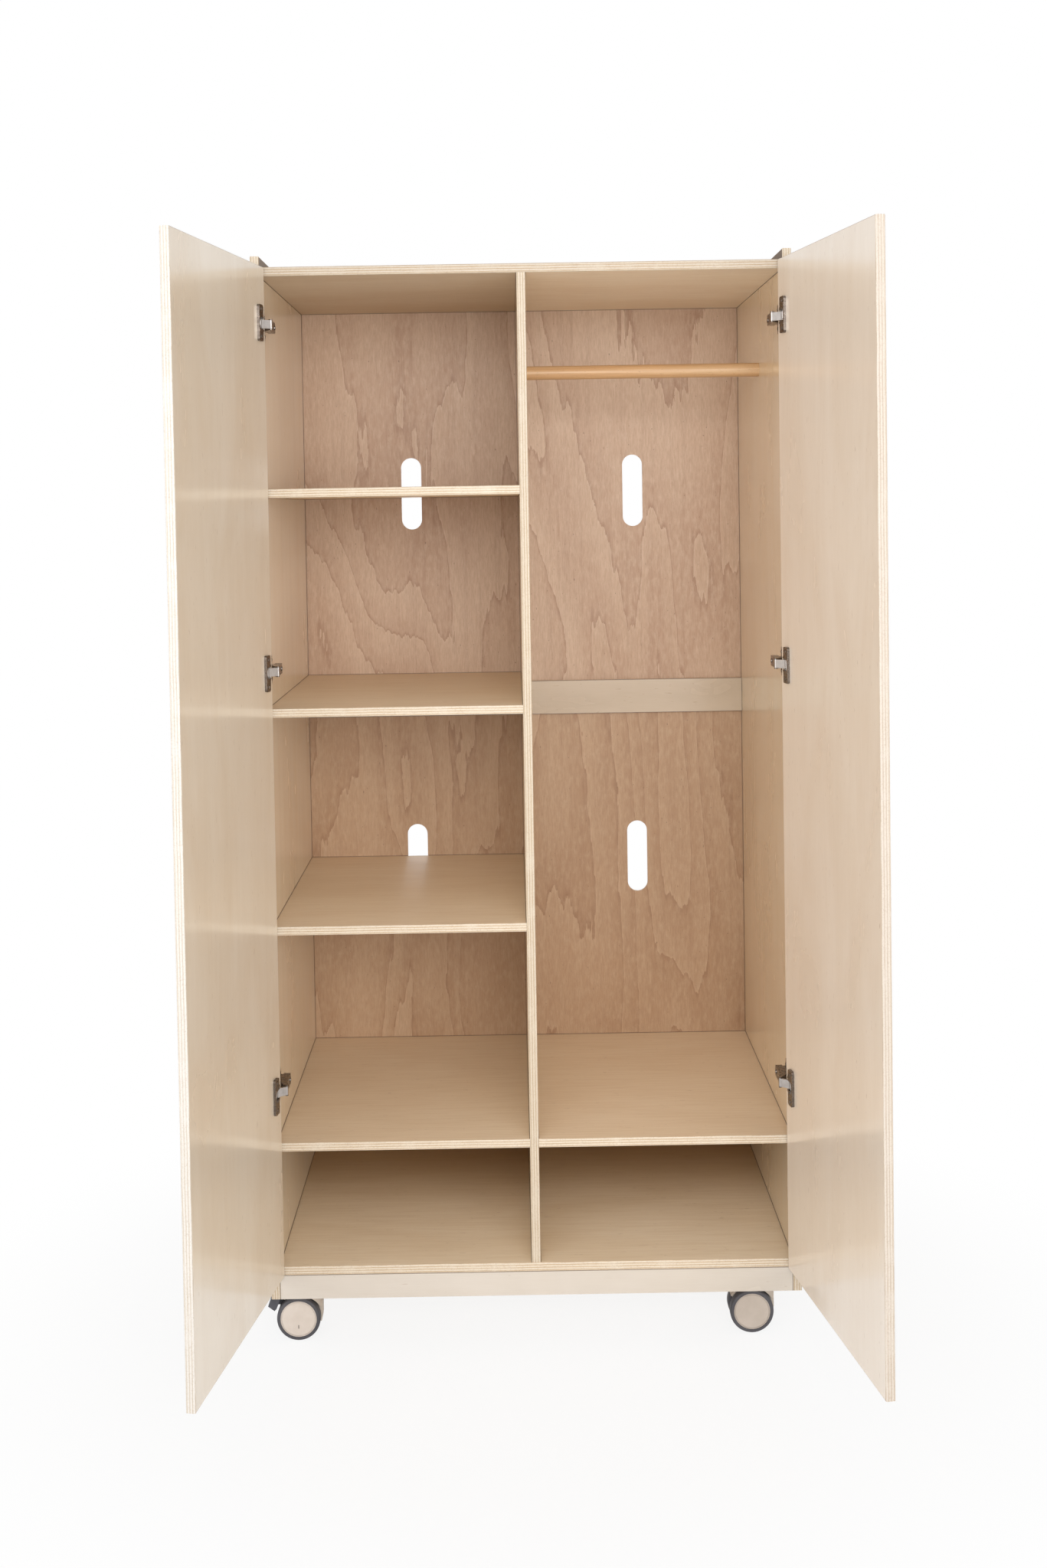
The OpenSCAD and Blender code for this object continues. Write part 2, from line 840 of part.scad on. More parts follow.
// Swivel housing: crown under the race, neck cut back round the wheels, fender between them
module housing_blank(braked) {
    difference() {
        union() {
            difference() {
                union() {
                    translate([0, 0, neck_low]) cylinder(r = neck_r, h = neck_top - neck_low);
                    translate([0, 0, neck_top - crown_h]) cylinder(r1 = neck_r, r2 = crown_r, h = crown_h);
                }
                upright(2 * wheel_out) circle(wheel_r + wheel_gap);
            }
            upright(fender_half)
            difference() {
                fender_outline();
                if (braked) {
                    pedal_gap_outline();
                }
            }
        }
        translate([0, 0, king_low - 1]) cylinder(r = king_r + run_gap, h = caster_h);
        upright(2 * wheel_out) circle(axle_r + run_gap);
        if (braked) {
            upright(pedal_half + pedal_room_gap) pedal_slot_outline();
            upright(2 * wheel_in) translate(pedal_at) circle(pedal_pin_r + press_gap);
        }
    }
}

module front_left_caster_housing() {
    color("lightgray") at_caster(-1, swivel_front) housing_blank(true);
}

module front_right_caster_housing() {
    color("lightgray") at_caster(1, swivel_front) housing_blank(false);
}

module rear_left_caster_housing() {
    color("lightgray") at_caster(-1, swivel_rear) housing_blank(false);
}

module rear_right_caster_housing() {
    color("lightgray") at_caster(1, swivel_rear) housing_blank(true);
}

// Axle pressed into both hubs
module axle_blank() {
    upright(wheel_out - 3) circle(axle_r);
}

module front_left_caster_axle() {
    color("gray") at_caster(-1, swivel_front) axle_blank();
}

module front_right_caster_axle() {
    color("gray") at_caster(1, swivel_front) axle_blank();
}

module rear_left_caster_axle() {
    color("gray") at_caster(-1, swivel_rear) axle_blank();
}

module rear_right_caster_axle() {
    color("gray") at_caster(1, swivel_rear) axle_blank();
}

// Wheel hub disc with a shallow raised cover and a blind axle bore
module hub_blank() {
    translate([-trail, 0, wheel_r])
    for (s = [-1, 1]) {
        rotate([s * 90, 0, 0])
        translate([0, 0, wheel_in + hub_set])
        difference() {
            union() {
                cylinder(r = hub_r, h = hub_w);
                translate([0, 0, hub_w])
                cylinder(r1 = hub_r - cover_in, r2 = hub_r - 2 * cover_in, h = cover_h);
            }
            translate([0, 0, -1]) cylinder(r = axle_r + press_gap, h = hub_w);
        }
    }
}

module front_left_caster_hubs() {
    color("lightgray") at_caster(-1, swivel_front) hub_blank();
}

module front_right_caster_hubs() {
    color("lightgray") at_caster(1, swivel_front) hub_blank();
}

module rear_left_caster_hubs() {
    color("lightgray") at_caster(-1, swivel_rear) hub_blank();
}

module rear_right_caster_hubs() {
    color("lightgray") at_caster(1, swivel_rear) hub_blank();
}

// Section of a tyre from the hub outwards with rounded shoulders
module tyre_section() {
    intersection() {
        translate([hub_r + hub_gap, 0]) square([tyre_t, wheel_w]);
        union() {
            square([wheel_r - shoulder_r, wheel_w]);
            translate([0, shoulder_r]) square([wheel_r, wheel_w - 2 * shoulder_r]);
            for (y = [shoulder_r, wheel_w - shoulder_r]) {
                translate([wheel_r - shoulder_r, y]) circle(shoulder_r);
            }
        }
    }
}

// Pair of tyres on their hubs
module tyre_blank() {
    translate([-trail, 0, wheel_r])
    for (s = [-1, 1]) {
        rotate([s * 90, 0, 0]) translate([0, 0, wheel_in]) rotate_extrude() tyre_section();
    }
}

module front_left_caster_tyres() {
    color("dimgray") at_caster(-1, swivel_front) tyre_blank();
}

module front_right_caster_tyres() {
    color("dimgray") at_caster(1, swivel_front) tyre_blank();
}

module rear_left_caster_tyres() {
    color("dimgray") at_caster(-1, swivel_rear) tyre_blank();
}

module rear_right_caster_tyres() {
    color("dimgray") at_caster(1, swivel_rear) tyre_blank();
}

// Side outline of the pedal's lever from its pin
module lever_outline() {
    circle(pedal_boss_r);
    polygon([[0, pedal_boss_r], [-14, 12], [-20, -7], [0, -pedal_boss_r]]);
}

// Side outline of the pedal's tread from its pin, clear of the tyres through its travel
module tread_outline() {
    polygon([[-10, 14], [-26, 12], [-33, -4], [-22, -12], [-18.6, -8.8], [-15, 0]]);
}

// Brake pedal: boss on the pin, lever between the lugs and a wide tread
module pedal_blank() {
    difference() {
        union() {
            upright(pedal_half) translate(pedal_at) lever_outline();
            upright(tread_w / 2) translate(pedal_at) tread_outline();
        }
        upright(tread_w) translate(pedal_at) circle(pedal_pin_r + run_gap);
    }
}

// Pin pressed into the two lugs that carry the pedal
module brake_pin_blank() {
    upright(fender_half) translate(pedal_at) circle(pedal_pin_r);
}

module front_left_brake_pin() {
    color("gray") at_caster(-1, swivel_front) brake_pin_blank();
}

module rear_right_brake_pin() {
    color("gray") at_caster(1, swivel_rear) brake_pin_blank();
}

module front_left_brake_pedal() {
    color("dimgray") at_caster(-1, swivel_front) pedal_blank();
}

module rear_right_brake_pedal() {
    color("dimgray") at_caster(1, swivel_rear) pedal_blank();
}

left_side_panel();
right_side_panel();
top_panel();
bottom_panel();
centre_divider();
upper_shelf();
middle_shelf();
lower_shelf();
left_base_shelf();
right_base_shelf();
front_plinth_rail();
rear_plinth_rail();
upper_back_panel();
lower_back_panel();
back_rail();
hanging_rail();
panel_dowels();
left_caster_batten();
right_caster_batten();
hinge_plates();
hinge_plate_screws();
hinge_arms();
hinge_arm_screws();
hinge_arm_pins();
left_hinge_links();
right_hinge_links();
left_door();
right_door();
left_hinge_cups();
right_hinge_cups();
left_cup_pins();
right_cup_pins();
left_cup_screws();
right_cup_screws();
caster_plates();
caster_screws();
front_left_caster_housing();
front_right_caster_housing();
rear_left_caster_housing();
rear_right_caster_housing();
front_left_caster_axle();
front_right_caster_axle();
rear_left_caster_axle();
rear_right_caster_axle();
front_left_caster_hubs();
front_right_caster_hubs();
rear_left_caster_hubs();
rear_right_caster_hubs();
front_left_caster_tyres();
front_right_caster_tyres();
rear_left_caster_tyres();
rear_right_caster_tyres();
front_left_brake_pin();
rear_right_brake_pin();
front_left_brake_pedal();
rear_right_brake_pedal();
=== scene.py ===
import json
import math
from itertools import product

import bpy
import numpy as np
from mathutils import Matrix, Vector


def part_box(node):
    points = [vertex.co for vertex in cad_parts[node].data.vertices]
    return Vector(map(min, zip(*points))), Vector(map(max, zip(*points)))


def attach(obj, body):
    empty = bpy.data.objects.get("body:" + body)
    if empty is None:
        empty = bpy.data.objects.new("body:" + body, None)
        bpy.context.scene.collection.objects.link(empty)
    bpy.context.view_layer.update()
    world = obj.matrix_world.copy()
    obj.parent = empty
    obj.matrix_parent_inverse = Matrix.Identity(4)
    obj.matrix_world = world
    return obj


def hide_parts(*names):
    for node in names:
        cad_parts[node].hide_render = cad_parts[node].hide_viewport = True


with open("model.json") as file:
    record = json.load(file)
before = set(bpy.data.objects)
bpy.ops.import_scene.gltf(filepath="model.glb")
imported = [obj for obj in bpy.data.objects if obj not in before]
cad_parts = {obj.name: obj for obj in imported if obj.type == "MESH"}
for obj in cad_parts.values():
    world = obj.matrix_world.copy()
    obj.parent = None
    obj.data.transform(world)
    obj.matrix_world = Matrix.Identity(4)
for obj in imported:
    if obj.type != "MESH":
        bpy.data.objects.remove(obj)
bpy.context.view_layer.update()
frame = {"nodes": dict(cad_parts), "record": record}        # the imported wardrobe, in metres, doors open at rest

nodes = frame["nodes"]
print("frame loaded with", len(nodes), "nodes")


# helpers for node trees
def srgb(red, green, blue):
    # 0..255 display values to a linear colour with alpha
    raw = np.array([red, green, blue]) / 255.0
    linear = np.where(raw <= 0.04045, raw / 12.92, ((raw + 0.055) / 1.055) ** 2.4)
    return (*linear.tolist(), 1.0)


def addNode(tree, kind, inputs=(), **settings):
    node = tree.nodes.new("ShaderNode" + kind)
    for key, value in settings.items():
        setattr(node, key, value)
    for key, value in dict(inputs).items():
        if isinstance(value, bpy.types.NodeSocket):
            tree.links.new(value, node.inputs[key])
        else:
            node.inputs[key].default_value = value
    return node


def calc(tree, operation, first, second=0.0):
    return addNode(tree, "Math", {0: first, 1: second}, operation=operation).outputs[0]


def blend(tree, factor, first, second, mode="MIX"):
    # the colour form of the Mix node takes its colours on sockets 6 and 7 and gives socket 2
    inputs = {0: factor, 6: first, 7: second}
    return addNode(tree, "Mix", inputs, data_type="RGBA", blend_type=mode).outputs[2]


def fade(tree, value, low, high, lowTo=0.0, highTo=1.0):
    # smooth step from lowTo at low to highTo at high
    inputs = {"Value": value, "From Min": low, "From Max": high, "To Min": lowTo, "To Max": highTo}
    return addNode(tree, "MapRange", inputs, interpolation_type="SMOOTHSTEP").outputs[0]


def tint(tree, colour, value, span, mix, other):
    # lays another colour over, from none to mix, as the value crosses its span
    return blend(tree, fade(tree, value, *span, 0.0, mix), colour, other)


def varied(tree, value, span, middle, spread):
    # a number that goes from middle + spread[0] to middle + spread[1] as the value crosses its span
    return fade(tree, value, *span, middle + spread[0], middle + spread[1])


def placed(tree, scale, shift=(0, 0, 0)):
    # object coordinates, scaled and shifted
    coords = addNode(tree, "TexCoord").outputs["Object"]
    return addNode(tree, "Mapping", {"Vector": coords, "Scale": scale, "Location": shift}).outputs[0]


def noise(tree, vector, detail=3.0, roughness=0.6, distortion=0.0):
    inputs = {"Vector": vector, "Scale": 1.0, "Detail": detail, "Roughness": roughness}
    inputs["Distortion"] = distortion
    return addNode(tree, "TexNoise", inputs).outputs[0]


def axes(tree):
    # x, y and z of the object coordinates
    coords = addNode(tree, "TexCoord").outputs["Object"]
    return addNode(tree, "SeparateXYZ", {0: coords}).outputs


def newMaterial(name, roughness, metallic=0.0):
    material = bpy.data.materials.new(name)
    material.use_nodes = True
    shader = material.node_tree.nodes["Principled BSDF"]
    shader.inputs["Roughness"].default_value = roughness
    shader.inputs["Metallic"].default_value = metallic
    return material, material.node_tree, shader


def dress(tree, shader, colour, height, relief, roughness=None):
    # colour, fine relief of some strength and depth and, where given, a varying roughness on one shader
    tree.links.new(colour, shader.inputs["Base Color"])
    bump = addNode(tree, "Bump", {"Height": height, "Strength": relief[0], "Distance": relief[1]})
    tree.links.new(bump.outputs[0], shader.inputs["Normal"])
    if roughness is not None:
        tree.links.new(roughness, shader.inputs["Roughness"])


# the dark line where two boards meet: its width in metres, and how much of the wood's colour it covers
joint = {"width": 0.0015, "depth": 0.95}


def topOf(name):
    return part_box(name)[1].z


def underOf(name):
    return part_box(name)[0].z


# places of the boards, read from the frame
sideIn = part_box("top_panel")[1].x                  # inner face of a side panel
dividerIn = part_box("centre_divider")[1].x          # face of the divider
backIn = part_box("upper_back_panel")[0].y           # front face of the back panels
fullBoards = ["bottom_panel", "top_panel"]
leftBoards = ["upper_shelf", "middle_shelf", "lower_shelf"]
baseBoards = ["left_base_shelf"]                   # the right one lies at the same height


def heightsOf(names):
    return [z for name in names for z in (topOf(name), underOf(name))]


def creaseMask(tree, lines, width):
    # 1 on a thin line at each (axis, place, gate) and 0 a line's width away; a place on x counts on both
    # sides of the middle, and a gate keeps a line to negative x
    found = axes(tree)
    mirrorX = calc(tree, "ABSOLUTE", found[0])
    nearest = None
    for axis, place, gated in lines:
        base = mirrorX if axis == 0 else found[axis]
        away = calc(tree, "ABSOLUTE", calc(tree, "SUBTRACT", base, place))
        if gated:
            away = calc(tree, "MAXIMUM", away, found[0])
        nearest = away if nearest is None else calc(tree, "MINIMUM", nearest, away)
    return fade(tree, nearest, 0.0, width, 1.0, 0.0)


def drawJoints(tree, colour, lines, dark):
    # darkens a colour along the lines where other boards meet the face
    if not lines:
        return colour
    mask = creaseMask(tree, lines, joint["width"])
    return blend(tree, calc(tree, "MULTIPLY", mask, joint["depth"]), colour, dark)


def veneer(name, look, lines=()):
    # clouds of tone and a faint ripple, streaks and fibres along the grain, short dark flecks, then lacquer
    material, tree, shader = newMaterial(name, look["roughness"])
    grain = np.array(look["grain"]) > 0

    def grained(scale):
        across, along = scale
        return placed(tree, tuple(np.where(grain, along, across)), look["shift"])

    cloud = noise(tree, grained(look["cloudScale"]), detail=4.0, roughness=0.55, distortion=0.8)
    ripple = noise(tree, grained(look["rippleScale"]))
    band = noise(tree, grained(look["bandScale"]))
    fibre = noise(tree, grained(look["fibreScale"]), detail=2.0)
    fleck = noise(tree, grained(look["fleckScale"]), detail=1.0, roughness=0.4)
    colour = tint(tree, look["pale"], cloud, look["cloudSpan"], 1.0, look["tone"])
    colour = tint(tree, colour, ripple, look["rippleSpan"], look["rippleMix"], look["pale"])
    colour = tint(tree, colour, band, look["bandSpan"], look["bandMix"], look["streak"])
    colour = tint(tree, colour, fibre, look["fibreSpan"], look["fibreMix"], look["fleck"])
    colour = tint(tree, colour, fleck, look["fleckSpan"], look["fleckMix"], look["fleck"])
    colour = drawJoints(tree, colour, lines, look["crease"])
    if "leftShade" in look:
        # painted shade: duller over the left bay
        left = fade(tree, axes(tree)[0], *look["leftSpan"], 1.0, 0.0)
        colour = blend(tree, left, colour, look["leftShade"], "MULTIPLY")
    if "rearShade" in look:
        # painted shade: browner towards the back, as the shade under the base shelf
        rear = fade(tree, axes(tree)[1], look["rearShadeFrom"], backIn)
        colour = blend(tree, rear, colour, look["rearShade"], "MULTIPLY")
    shader.inputs["Coat Weight"].default_value = look["coat"]
    shader.inputs["Coat Roughness"].default_value = look["coatRoughness"]
    if "shadeAbove" in look:
        # painted shade: the strip above this height is painted dark, and with no coat and an IOR near 1 it
        # mirrors nothing at a low angle
        stripShade = fade(tree, axes(tree)[2], look["shadeAbove"] - look["shadeEdge"], look["shadeAbove"])
        colour = blend(tree, stripShade, colour, look["stripShade"])
        polish = calc(tree, "MULTIPLY", calc(tree, "SUBTRACT", 1.0, stripShade), look["coat"])
        tree.links.new(polish, shader.inputs["Coat Weight"])
        tree.links.new(fade(tree, stripShade, 0.0, 1.0, *look["stripIor"]), shader.inputs["IOR"])
    satin = varied(tree, cloud, look["cloudSpan"], look["roughness"], look["roughSpread"])
    dress(tree, shader, colour, fibre, look["relief"], satin)
    return material


birch = {
    "pale": srgb(238, 226, 208), "tone": srgb(230, 214, 192), "streak": srgb(218, 198, 172),
    "fleck": srgb(150, 110, 76), "crease": srgb(74, 50, 32),
    "grain": (0, 0, 1), "shift": (0.0, 0.0, 0.0),
    # scales of the noise across and along the grain
    "cloudScale": (7.0, 2.4), "rippleScale": (14.0, 34.0), "bandScale": (24.0, 1.4),
    "fibreScale": (640.0, 22.0), "fleckScale": (330.0, 60.0),
    # the span of each noise over which its colour comes in, and how much of it does
    "cloudSpan": (0.3, 0.7), "rippleSpan": (0.4, 0.8), "bandSpan": (0.35, 0.75),
    "fibreSpan": (0.35, 0.8), "fleckSpan": (0.735, 0.79),
    "rippleMix": 0.2, "bandMix": 0.16, "fibreMix": 0.04, "fleckMix": 0.28,
    "coat": 0.6, "coatRoughness": 0.13, "roughness": 0.25, "roughSpread": (-0.02, 0.03),
    "relief": (0.03, 0.0002),
}
outerBirch = dict(
    birch, pale=srgb(216, 202, 183), tone=srgb(208, 192, 170), streak=srgb(197, 178, 153),
    shift=(0.9, 3.3, 1.2), coat=0.0, roughness=0.42)
# a lighter copy of the birch for the right door's inner face: painted light
litRightDoorBirch = dict(
    birch, pale=srgb(248, 236, 221), tone=srgb(241, 226, 208), streak=srgb(230, 211, 188),
    shift=(3.1, 0.7, 1.9))
# the side panels' strip above the top panel, painted dark as shade
paintedStrip = {"shadeAbove": topOf("top_panel"), "shadeEdge": 0.0005, "stripIor": (1.5, 1.01)}
# a lighter copy of the birch for the left bay, painted light, with its strip above the top painted dark as shade
litLeftBayLook = dict(
    birch, **paintedStrip, pale=srgb(249, 235, 212), tone=srgb(241, 224, 198), streak=srgb(225, 202, 173),
    shift=(1.7, 2.3, 0.4), stripShade=srgb(160, 147, 137))
# a darker copy of the birch for the right bay, painted shade, with its strip above the top painted dark as shade
shadedRightBayLook = dict(
    birch, **paintedStrip, pale=srgb(237, 221, 195), tone=srgb(229, 210, 181), streak=srgb(217, 194, 161),
    shift=(5.2, 1.1, 2.8), stripShade=srgb(150, 136, 126))
flatBirch = dict(
    birch, pale=srgb(242, 222, 194), tone=srgb(237, 215, 186), streak=srgb(222, 194, 160),
    grain=(1, 0, 0), bandScale=(190.0, 10.0), bandMix=0.36, coat=0.0, roughness=0.46)
# the bottom panel, with painted shade that browns it towards the back
lowBirch = dict(
    flatBirch, pale=srgb(246, 230, 205), tone=srgb(239, 220, 192), streak=srgb(223, 199, 166),
    shift=(0.6, 1.3, 0.0), rearShadeFrom=0.06, rearShade=srgb(190, 167, 132))
topBirch = dict(
    flatBirch, pale=srgb(240, 222, 196), tone=srgb(231, 210, 182), streak=srgb(218, 192, 160),
    shift=(2.2, 0.4, 0.0))
# the top's underside, with painted shade that dulls it over the left bay
topUnderBirch = dict(
    topBirch, pale=srgb(251, 236, 212), tone=srgb(245, 227, 201), streak=srgb(227, 202, 170),
    leftSpan=(-0.004, 0.004), leftShade=srgb(226, 222, 218))
plinthBirch = dict(
    birch, pale=srgb(212, 202, 190), tone=srgb(204, 193, 179), streak=srgb(194, 181, 165), grain=(1, 0, 0))
railBirch = dict(
    birch, pale=srgb(208, 190, 166), tone=srgb(199, 180, 155), streak=srgb(188, 167, 140), grain=(1, 0, 0),
    bandMix=0.2)


def figuredVeneer(name, look, lines=()):
    # contour bands of a tall slow field, each ending in a sharp edge that the fibres draw out into teeth
    material, tree, shader = newMaterial(name, look["roughness"])
    field = placed(tree, look["hillScale"], look["hillShift"])
    hills = noise(tree, field, detail=2.0, roughness=0.45, distortion=0.5)
    teeth = noise(tree, placed(tree, look["toothScale"]), roughness=0.55)
    slopes = calc(tree, "MULTIPLY", hills, look["bands"])
    ring = calc(tree, "FRACT", calc(tree, "ADD", slopes, calc(tree, "MULTIPLY", teeth, look["toothDeep"])))
    slow = noise(tree, placed(tree, look["slowScale"]), detail=2.0, roughness=0.5)
    fibre = noise(tree, placed(tree, look["fibreScale"]), roughness=0.65)
    streak = noise(tree, placed(tree, look["streakScale"]))
    mottle = noise(tree, placed(tree, look["mottleScale"]), detail=4.0, roughness=0.65)
    speck = noise(tree, placed(tree, look["speckScale"]), detail=1.0, roughness=0.4)
    colour = tint(tree, look["pale"], slow, look["slowSpan"], 1.0, look["deep"])
    colour = tint(tree, colour, ring, look["ringSpan"], look["ringMix"], look["ring"])
    colour = tint(tree, colour, ring, look["edgeSpan"], look["edgeMix"], look["edge"])
    colour = blend(tree, fade(tree, ring, *look["rimSpan"], look["rimMix"], 0.0), colour, look["pale"])
    colour = tint(tree, colour, streak, look["streakSpan"], look["streakMix"], look["edge"])
    colour = tint(tree, colour, mottle, look["mottleSpan"], look["mottleMix"], look["pale"])
    colour = tint(tree, colour, fibre, look["fibreSpan"], look["fibreMix"], look["edge"])
    colour = tint(tree, colour, speck, look["speckSpan"], look["speckMix"], look["speck"])
    colour = drawJoints(tree, colour, lines, look["speck"])
    satin = varied(tree, fibre, look["roughSpan"], look["roughness"], look["roughSpread"])
    dress(tree, shader, colour, fibre, look["relief"], satin)
    return material


backFigure = {
    "pale": srgb(218, 192, 167), "deep": srgb(203, 172, 145), "ring": srgb(184, 148, 121),
    "edge": srgb(150, 109, 80), "speck": srgb(88, 56, 36),
    "hillScale": (2.8, 2.8, 0.62), "hillShift": (1.3, 0.4, 2.2), "bands": 15.0,
    "toothScale": (62.0, 62.0, 7.0), "toothDeep": 0.6, "slowScale": (2.4, 2.4, 1.3),
    "fibreScale": (620.0, 620.0, 70.0), "streakScale": (95.0, 95.0, 3.2),
    "mottleScale": (120.0, 120.0, 48.0), "speckScale": (300.0, 300.0, 140.0),
    "slowSpan": (0.32, 0.68), "ringSpan": (0.15, 0.97), "edgeSpan": (0.9, 1.0), "rimSpan": (0.0, 0.08),
    "streakSpan": (0.45, 0.8), "mottleSpan": (0.4, 0.75), "fibreSpan": (0.3, 0.75),
    "speckSpan": (0.74, 0.79),
    "ringMix": 0.5, "edgeMix": 0.42, "rimMix": 0.5, "streakMix": 0.24, "mottleMix": 0.5, "fibreMix": 0.3,
    "speckMix": 0.5, "roughness": 0.42, "roughSpan": (0.2, 0.8), "roughSpread": (-0.05, 0.07),
    "relief": (0.05, 0.0002),
}
lowBackFigure = dict(
    backFigure, pale=srgb(207, 178, 147), deep=srgb(192, 159, 127), ring=srgb(173, 137, 104),
    edge=srgb(146, 104, 74), hillShift=(2.7, 0.4, 0.3), streakMix=0.16)
backRearFigure = dict(backFigure, hillShift=(4.1, 0.4, 0.7))


def plyEdge(name, axis, low, thick, look):
    # plies in turn along and across the edge with thin brown glue lines between, all slightly wavy
    material, tree, shader = newMaterial(name, look["roughness"])
    coords = addNode(tree, "TexCoord").outputs["Object"]
    through = {0: coords, 1: tuple(axis)}
    depth = addNode(tree, "VectorMath", through, operation="DOT_PRODUCT").outputs["Value"]
    share = calc(tree, "DIVIDE", calc(tree, "SUBTRACT", depth, low), thick / look["plies"])
    wave = noise(tree, placed(tree, look["waveScale"]))
    share = calc(tree, "ADD", share, fade(tree, wave, *look["waveSpan"], -look["wave"], look["wave"]))
    ply = calc(tree, "PINGPONG", share, 1.0)
    glue = calc(tree, "ABSOLUTE", calc(tree, "SUBTRACT", calc(tree, "FRACT", share), 0.5))
    pores = noise(tree, placed(tree, look["poreScale"]), detail=2.0)
    streak = noise(tree, placed(tree, look["streakScale"]))
    colour = tint(tree, look["pale"], ply, look["crossSpan"], 1.0, look["cross"])
    colour = tint(tree, colour, streak, look["streakSpan"], look["streakMix"], look["pale"])
    colour = tint(tree, colour, pores, look["poreSpan"], look["poreMix"], look["glue"])
    colour = tint(tree, colour, glue, look["glueSpan"], look["glueMix"], look["glue"])
    rough = varied(tree, pores, look["roughSpan"], look["roughness"], look["roughSpread"])
    dress(tree, shader, colour, pores, look["relief"], rough)
    return material


edgeLook = {
    "pale": srgb(226, 214, 195), "cross": srgb(203, 180, 151), "glue": srgb(146, 112, 80),
    "plies": 7.0, "wave": 0.2,
    "waveScale": (14.0, 14.0, 14.0), "poreScale": (480.0, 480.0, 480.0), "streakScale": (26.0, 26.0, 26.0),
    "waveSpan": (0.2, 0.8), "crossSpan": (0.42, 0.58), "streakSpan": (0.45, 0.75), "poreSpan": (0.45, 0.8),
    "glueSpan": (0.40, 0.5), "streakMix": 0.6, "poreMix": 0.28, "glueMix": 0.6,
    "roughness": 0.42, "roughSpan": (0.2, 0.8), "roughSpread": (0.0, 0.12), "relief": (0.2, 0.0003),
}
topEdgeLook = dict(edgeLook, pale=srgb(208, 196, 178), cross=srgb(187, 165, 138))
standEdgeLook = dict(edgeLook, pale=srgb(215, 203, 184), cross=srgb(194, 173, 146))
# the left door's edge is paler and bluer than the right's: painted light
litLeftDoorEdgeLook = dict(edgeLook, pale=srgb(225, 220, 213), cross=srgb(208, 198, 184))
rightDoorEdgeLook = dict(edgeLook, pale=srgb(218, 208, 196), cross=srgb(200, 184, 166))
backEdgeLook = dict(edgeLook, plies=3.0, pale=srgb(214, 184, 152), cross=srgb(196, 160, 124))


def roundBeech(name, look):
    # long grain lines, fine fibres and the short dark dashes of beech along the rail
    material, tree, shader = newMaterial(name, look["roughness"])
    stripes = noise(tree, placed(tree, look["stripeScale"]), distortion=0.4)
    fibre = noise(tree, placed(tree, look["fibreScale"]), detail=2.0)
    dashes = noise(tree, placed(tree, look["dashScale"]), detail=1.0, roughness=0.4)
    colour = tint(tree, look["pale"], stripes, look["stripeSpan"], 1.0, look["deep"])
    colour = tint(tree, colour, fibre, look["fibreSpan"], look["fibreMix"], look["dash"])
    colour = tint(tree, colour, dashes, look["dashSpan"], look["dashMix"], look["dash"])
    rough = varied(tree, stripes, look["roughSpan"], look["roughness"], look["roughSpread"])
    dress(tree, shader, colour, fibre, look["relief"], rough)
    return material


railBeech = {
    "pale": srgb(218, 183, 141), "deep": srgb(200, 156, 110), "dash": srgb(156, 106, 66),
    "stripeScale": (1.6, 130.0, 130.0), "fibreScale": (14.0, 700.0, 700.0),
    "dashScale": (150.0, 900.0, 900.0),
    "stripeSpan": (0.3, 0.7), "fibreSpan": (0.4, 0.8), "dashSpan": (0.68, 0.76),
    "fibreMix": 0.25, "dashMix": 0.4,
    "roughness": 0.34, "roughSpan": (0.2, 0.8), "roughSpread": (0.0, 0.1), "relief": (0.12, 0.0003),
}


def sawnPine(name, look):
    # growth rings as waves about a line along the batten, with saw marks across it
    material, tree, shader = newMaterial(name, look["roughness"])
    bent = placed(tree, look["ringScale"])
    inputs = {"Vector": bent, "Scale": 1.0, "Distortion": look["ringBend"], "Detail": 2.0}
    rings = addNode(tree, "TexWave", inputs, wave_type="RINGS", rings_direction="Y").outputs["Fac"]
    marks = noise(tree, placed(tree, look["markScale"]), detail=2.0, roughness=0.5)
    colour = tint(tree, look["pale"], rings, look["ringSpan"], 1.0, look["ring"])
    colour = tint(tree, colour, marks, look["markSpan"], look["markMix"], look["mark"])
    dress(tree, shader, colour, marks, look["relief"])
    return material


battenPine = {
    "pale": srgb(232, 206, 160), "ring": srgb(205, 160, 104), "mark": srgb(166, 122, 78),
    "ringScale": (30.0, 0.5, 45.0), "ringBend": 3.0, "markScale": (60.0, 420.0, 60.0),
    "ringSpan": (0.3, 0.9), "markSpan": (0.4, 0.8), "markMix": 0.25,
    "roughness": 0.6, "relief": (0.35, 0.0006),
}


def platedMetal(name, look):
    # plating with faint cloudy wear and fine brushed lines
    material, tree, shader = newMaterial(name, look["roughness"], metallic=1.0)
    cloud = noise(tree, placed(tree, look["cloudScale"]))
    brushed = noise(tree, placed(tree, look["brushScale"]), detail=2.0)
    colour = tint(tree, look["bright"], cloud, look["cloudSpan"], 1.0, look["dull"])
    rough = varied(tree, cloud, look["roughSpan"], look["roughness"], look["roughSpread"])
    dress(tree, shader, colour, brushed, look["relief"], rough)
    return material


nickel = {
    "bright": srgb(130, 121, 114), "dull": srgb(110, 101, 94),
    "cloudScale": (130.0, 130.0, 130.0), "brushScale": (300.0, 300.0, 2400.0), "cloudSpan": (0.3, 0.75),
    "roughness": 0.26, "roughSpan": (0.2, 0.8), "roughSpread": (-0.06, 0.1), "relief": (0.08, 0.0001),
}
linkNickel = dict(nickel, bright=srgb(188, 183, 180), dull=srgb(174, 168, 164), roughness=0.36)
zinc = dict(
    nickel, bright=srgb(196, 198, 200), dull=srgb(160, 163, 167), brushScale=(1800.0, 240.0, 240.0),
    roughness=0.4)
pinSteel = dict(nickel, bright=srgb(186, 186, 186), dull=srgb(150, 150, 150), roughness=0.34)


